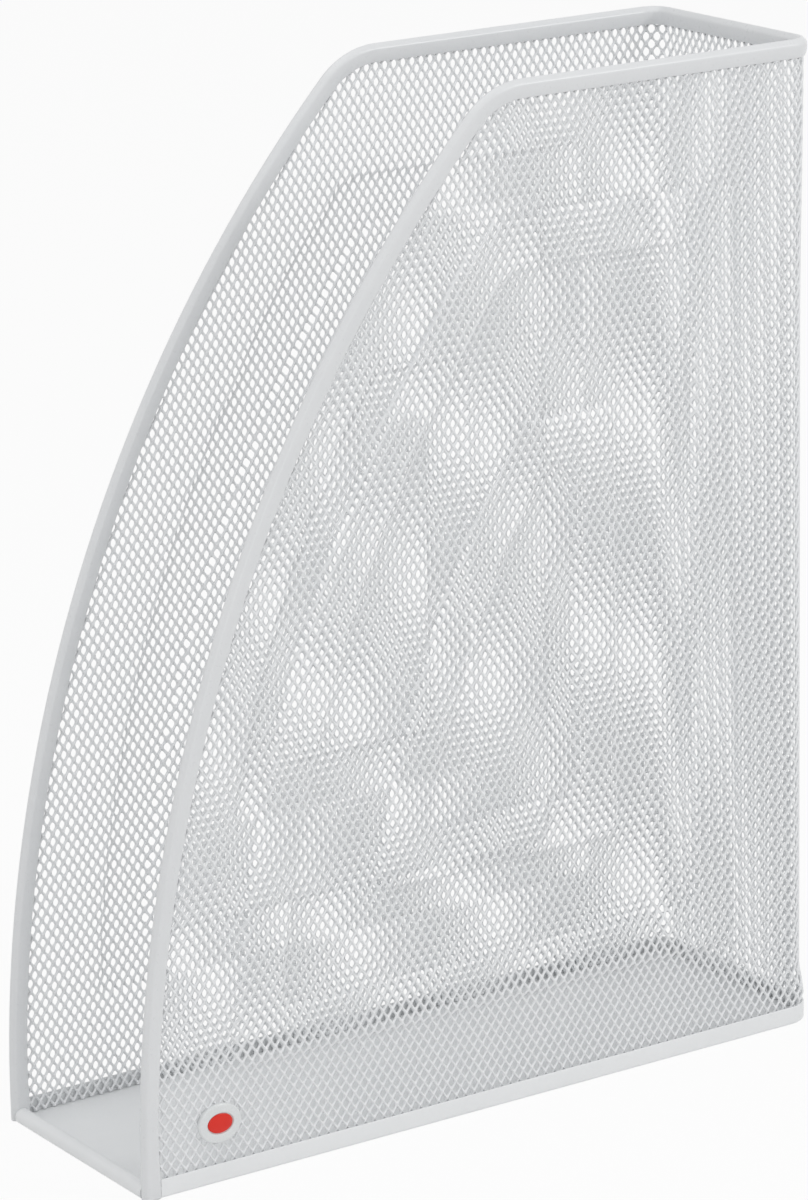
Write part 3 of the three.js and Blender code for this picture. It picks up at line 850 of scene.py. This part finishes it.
class Finish:
    """A material with one Principled shader. Values given by name are set on the shader itself."""

    def __init__(self, name, **constants):
        self.material = bpy.data.materials.new(name)
        self.material.use_nodes = True
        self.tree = self.material.node_tree
        self.shader = self.tree.nodes["Principled BSDF"]
        for socket, value in constants.items():
            self.shader.inputs[socket.replace("_", " ")].default_value = value

    def feed(self, socket, value):
        if isinstance(value, Term):
            self.tree.links.new(value.socket, socket)
        else:
            socket.default_value = value

    def node(self, kind, settings, inputs, output=0):
        made = self.tree.nodes.new("ShaderNode" + kind)
        for name, value in settings.items():
            setattr(made, name, value)
        for name, value in inputs.items():
            self.feed(made.inputs[name], value)
        return Term(self, made.outputs[output])

    def maths(self, operation, a, b):
        return self.node("Math", {"operation": operation}, {0: a, 1: b})

    def drive(self, socket, value):
        self.feed(self.shader.inputs[socket], value)

    def noise(self, size, detail=2.0):
        """Noise with patches about this many metres across, on the object's own coordinates."""
        place = self.node("TexCoord", {}, {}, "Object")
        return self.node("TexNoise", {}, {"Vector": place, "Scale": 1 / size, "Detail": detail})

    def blend(self, share, first, second):
        mix = {"data_type": "RGBA"}
        return self.node("Mix", mix, {0: share, 6: (*first, 1), 7: (*second, 1)}, 2)

    def bump(self, height, depth):
        settings = {"Height": height, "Distance": depth, "Strength": 1.0}
        self.drive("Normal", self.node("Bump", {}, settings))


def paint(red, green, blue):
    """A colour as a picture editor shows it, 0 to 255, as the linear values that Blender uses."""
    parts = [value / 255 for value in (red, green, blue)]
    return tuple(v / 12.92 if v <= 0.04045 else ((v + 0.055) / 1.055) ** 2.4 for v in parts)

# %% [markdown]
# ## White powder coat
#
# Powder is sprayed on dry and melts into an even skin. It never lies quite flat: it has a fine
# orange peel a millimetre or so across, which breaks the highlights up, and the skin is a little
# thicker in some places than in others, so the white drifts very slightly between warm and cool.
# Roughness follows the peel. The mesh, the rim and the pan share the recipe. On the holder all
# three wear the same white. Here the mesh is painted lighter than the rim, a painted highlight for
# the light that its rounded strands catch. The pan is painted lighter too, as painted light that
# lifts its skirt out of the shade by the floor.

# %% The coat
def powder_coat(name, light, dark, peel_depth, roughness):
    coat = Finish(name, Specular_IOR_Level=0.45)
    drift = coat.noise(38 * MM, 3)
    mottle = coat.noise(6 * MM, 2)
    peel = coat.noise(1.3 * MM, 1)
    grain = coat.noise(0.35 * MM, 2)
    share = 0.7 * drift + 0.3 * mottle + 0.35 * (grain - 0.5)
    coat.drive("Base Color", coat.blend(share, light, dark))
    coat.drive("Roughness", roughness + 0.12 * (peel - 0.5) + 0.08 * (grain - 0.5))
    coat.bump(peel + 0.25 * grain, peel_depth)
    return coat.material


# Painted highlight: the mesh is a lighter white than the rim, for the light its rounded strands
# catch.
mesh_coat = powder_coat("white_mesh", paint(246, 247, 248), paint(237, 239, 241), 0.03 * MM, 0.38)
rim_coat = powder_coat("white_rim", paint(234, 235, 236), paint(225, 227, 229), 0.025 * MM, 0.3)
# Painted light: the pan is a lighter white than the rim, to lift its skirt where it stands in
# shade by the floor.
pan_coat = powder_coat("white_pan", paint(244, 245, 246), paint(236, 238, 239), 0.05 * MM, 0.38)

# %% [markdown]
# ## The badge's plastics
#
# The bezel is glossy moulded plastic. Moulded parts have a faint flow pattern and a few fine marks
# from handling, which show only as a slightly different gloss. The plain field is a clear-coated
# red.

# %% Plastics
def plastic(name, light, dark, roughness, coat_weight):
    made = Finish(name, Coat_Roughness=0.08, Specular_IOR_Level=0.35)
    flow = made.noise(4 * MM, 3)
    marks = made.noise(0.5 * MM, 2)
    made.drive("Base Color", made.blend(flow, light, dark))
    made.drive("Roughness", roughness + 0.1 * (marks - 0.5))
    made.drive("Coat Weight", coat_weight * (0.8 + 0.4 * flow))
    made.bump(marks, 0.004 * MM)
    return made.material


ring_plastic = plastic("badge_ring", paint(234, 236, 236), paint(226, 229, 230), 0.28, 0.3)
field_plastic = plastic("badge_field", paint(234, 46, 26), paint(222, 34, 20), 0.3, 0.1)
clip_plastic = plastic("badge_back", paint(222, 224, 226), paint(212, 215, 217), 0.5, 0.1)

# %% [markdown]
# ## Every piece on its body
#
# The holder has no moving parts, so all pieces ride on the one body. Each piece is given its coat
# and hides the CAD nodes that it stands for.

# %% Ride, replace and colour
def wear(piece, coat, slot, *nodes):
    piece.data.materials.clear()
    piece.data.materials.append(coat)
    for face in piece.data.polygons:
        face.material_index = 0
    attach(piece, "root")
    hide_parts(*nodes)


deselect()
for piece in mesh_pieces:
    side = piece.name.split("_")[1]
    wear(piece, mesh_coat, "white_mesh", f"mesh_{side}")
wear(rim, rim_coat, "white_rim", "rim_tube")
wear(pan, pan_coat, "white_pan", "base_pan")
wear(bezel, ring_plastic, "badge_ring", "badge_bezel")
wear(field, field_plastic, "badge_field", "badge_insert")
wear(clip, clip_plastic, "badge_back", "badge_clip")

# %% [markdown]
# ## Floor and light
#
# The holder stands on a white floor without a horizon. The world gives an even light at which
# colours come out nearly as they are written, and four large soft lamps add the gentle shading.
# Seen by the camera, or mirrored in a gloss, the world is plain white and the floor is lifted
# towards white. For all other light they stay as they are, so the floor keeps the shadow of the
# holder and throws no more light on it.

# %% Stage
FLOOR_SIZE, FLOOR_LIFT = 40.0, 0.92
FLOOR_GREY, WHITE = (0.86, 0.86, 0.86, 1), (1, 1, 1, 1)
AMBIENT = 0.52


def shown(tree):
    """An output that gives 1 for a ray from the camera, a gloss or a clear body, and else 0."""
    path = tree.nodes.new("ShaderNodeLightPath")
    total = path.outputs["Is Camera Ray"]
    for kind in ("Is Glossy Ray", "Is Transmission Ray"):
        add = tree.nodes.new("ShaderNodeMath")
        add.use_clamp = True
        tree.links.new(total, add.inputs[0])
        tree.links.new(path.outputs[kind], add.inputs[1])
        total = add.outputs[0]
    return total


ground = begin("ground", bpy.ops.mesh.primitive_plane_add, size=FLOOR_SIZE, location=(0, 0, 0))
deselect()
surface = Finish("ground_white", Roughness=0.9, Specular_IOR_Level=0.0, Base_Color=FLOOR_GREY)
seen = Term(surface, shown(surface.tree))
glow = surface.node("Emission", {}, {"Color": WHITE, "Strength": 1.0})
lifted = surface.node("MixShader", {}, {0: FLOOR_LIFT * seen, 2: glow})
surface.tree.links.new(surface.shader.outputs[0], lifted.socket.node.inputs[1])
surface.tree.links.new(lifted.socket, surface.tree.nodes["Material Output"].inputs[0])
ground.data.materials.append(surface.material)

world = bpy.data.worlds.new("studio")
bpy.context.scene.world = world
world.use_nodes = True
around = world.node_tree
sky = around.nodes["Background"]
sky.inputs["Color"].default_value = WHITE
level = around.nodes.new("ShaderNodeMath")
level.operation = "MULTIPLY_ADD"
around.links.new(shown(around), level.inputs[0])
level.inputs[1].default_value = 1 - AMBIENT
level.inputs[2].default_value = AMBIENT
around.links.new(level.outputs[0], sky.inputs["Strength"])

# %% [markdown]
# Each lamp has a place, a size in metres and a power in watts, and all are aimed at the middle of
# the holder. Large lamps far away give soft shadows, and the strongest shines on the side that
# the camera sees.

# %% Lamps
MIDDLE = (0, 0, HEIGHT / 2)
LAMPS = {
    "side_light": ((1.33, 1.0, 1.07), 0.4, 6.5),
    "low_light": ((1.7, -0.5, 0.3), 0.8, 2.2),
    "front_light": ((0.3, -1.9, 0.9), 1.0, 3.4),
    "top_light": ((0.2, -0.3, 1.8), 1.2, 6),
}


def soft_lamp(name, place, target, size, power):
    lamp = bpy.data.lights.new(name, "AREA")
    lamp.shape, lamp.size, lamp.energy = "SQUARE", size, power
    holder = bpy.data.objects.new(name, lamp)
    bpy.context.scene.collection.objects.link(holder)
    holder.location = place
    holder.rotation_euler = (Vector(target) - Vector(place)).to_track_quat("-Z", "Y").to_euler()


for name, (place, size, power) in LAMPS.items():
    soft_lamp(name, place, MIDDLE, size, power)
print("lamps:", len(LAMPS))

# %% [markdown]
# ## The camera
#
# The place and the lens were worked out from the photograph: the edges of the rim and of the pan,
# whose sizes are known, have to fall where they do in the picture. It looks down by sixteen
# degrees from the front right, through a long lens.

# %% Camera
CAMERA_PLACE = Vector((1.22883, -0.81667, 0.58485))
CAMERA_RIGHT = Vector((0.55715, 0.83016, -0.02059))
CAMERA_UP = Vector((-0.22163, 0.17255, 0.95974))
SENSOR_WIDTH, FOCAL_LENGTH = 36, 149.9

lens = bpy.data.cameras.new("camera")
lens.sensor_width, lens.lens = SENSOR_WIDTH, FOCAL_LENGTH
lens.clip_start, lens.clip_end = 0.05, 100
camera = bpy.data.objects.new("camera", lens)
bpy.context.scene.collection.objects.link(camera)
right = CAMERA_RIGHT.normalized()
back = right.cross(CAMERA_UP).normalized()
turned = Matrix((right, back.cross(right), back)).transposed()
camera.matrix_world = Matrix.Translation(CAMERA_PLACE) @ turned.to_4x4()
bpy.context.scene.camera = camera
bpy.context.scene.view_settings.view_transform = "Standard"
